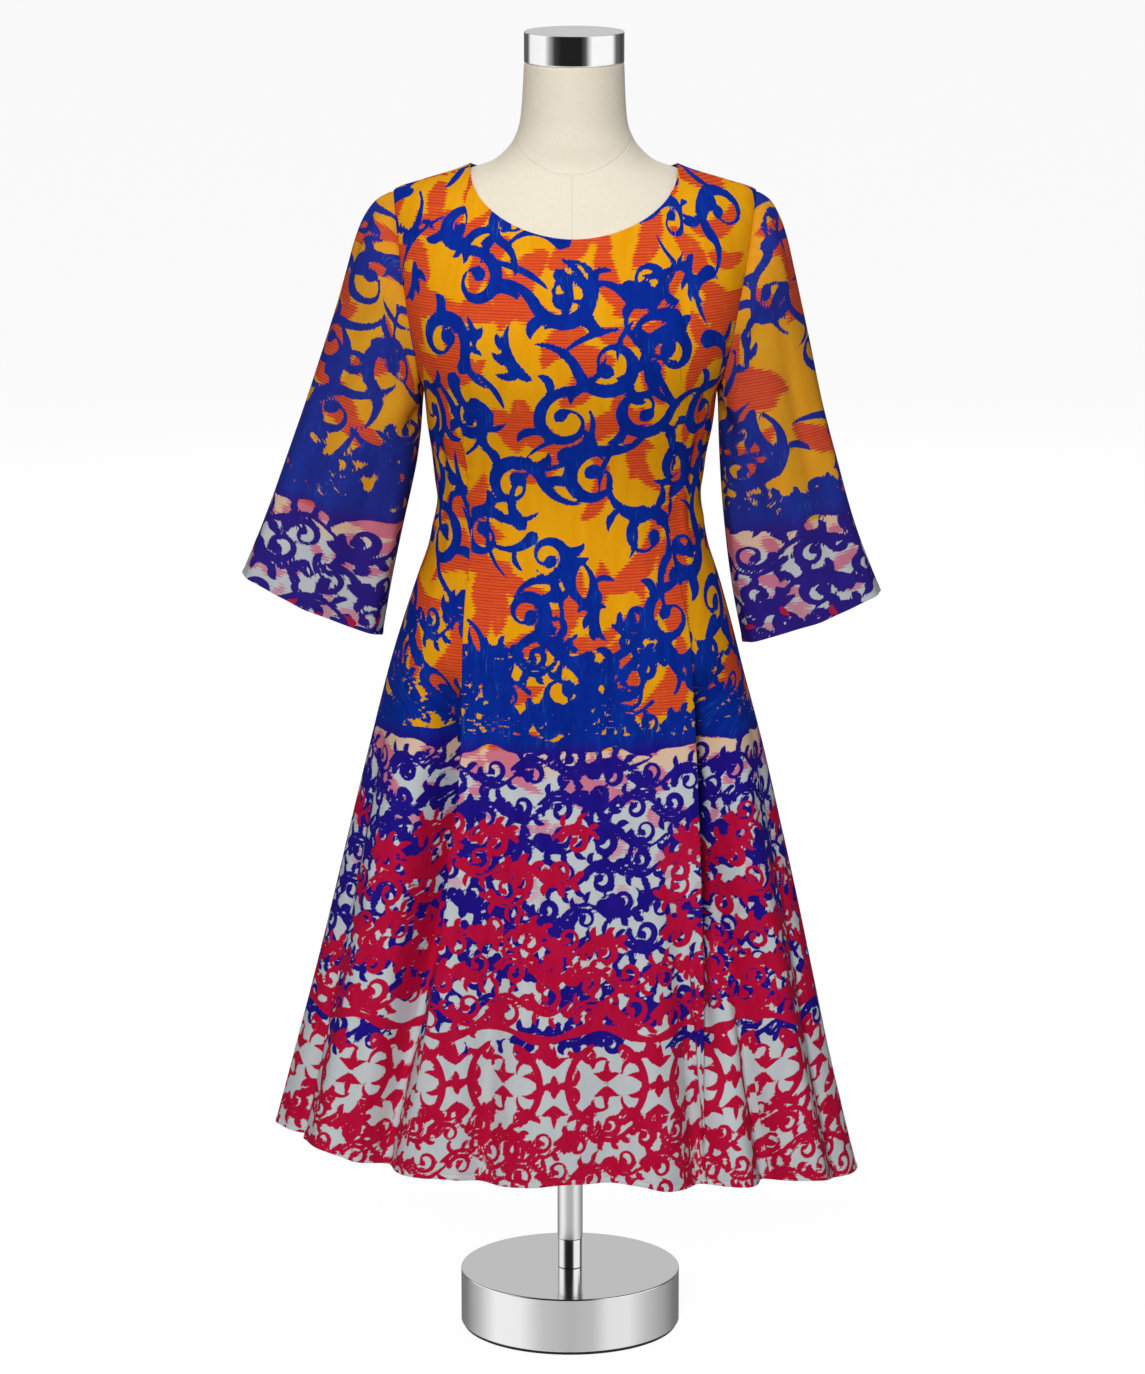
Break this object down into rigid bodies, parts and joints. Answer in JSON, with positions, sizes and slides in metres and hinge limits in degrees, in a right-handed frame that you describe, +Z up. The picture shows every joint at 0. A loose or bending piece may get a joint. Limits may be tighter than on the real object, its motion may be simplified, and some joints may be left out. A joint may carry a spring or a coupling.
{
  "type": "shift dress on a dress form",
  "caption": "Printed shift dress with flared three-quarter sleeves, worn by a limbless dress form with a chrome neck cap, on a pole and round base.",
  "frame": {"origin": "centre of the base's flat underside, on the floor", "axes": "+Z up along the pole, -Y the way the front of the dress faces, +X to the right as one looks at the front"},
  "size_m": [0.5451, 0.2571, 1.1345],
  "materials": {
    "dress_cloth": "opaque printed crepe, soft matt: yellow and orange with blue above, pale grey with violet and crimson below",
    "sleeve_cloth": "slightly see-through printed chiffon in the same bands of colour",
    "form_cover": "cream woven cover, matt",
    "chrome": "polished chrome",
    "pad_rubber": "matt black rubber"
  },
  "bodies": {
    "root": {"dress_front": "dress_cloth", "dress_back": "dress_cloth", "sleeve_left": "sleeve_cloth", "sleeve_right": "sleeve_cloth", "form_body": "form_cover", "form_cap": "chrome", "pole_upper": "chrome", "pole_lower": "chrome", "base_disc": "chrome", "base_pad": "pad_rubber"}
  },
  "joints": []
}
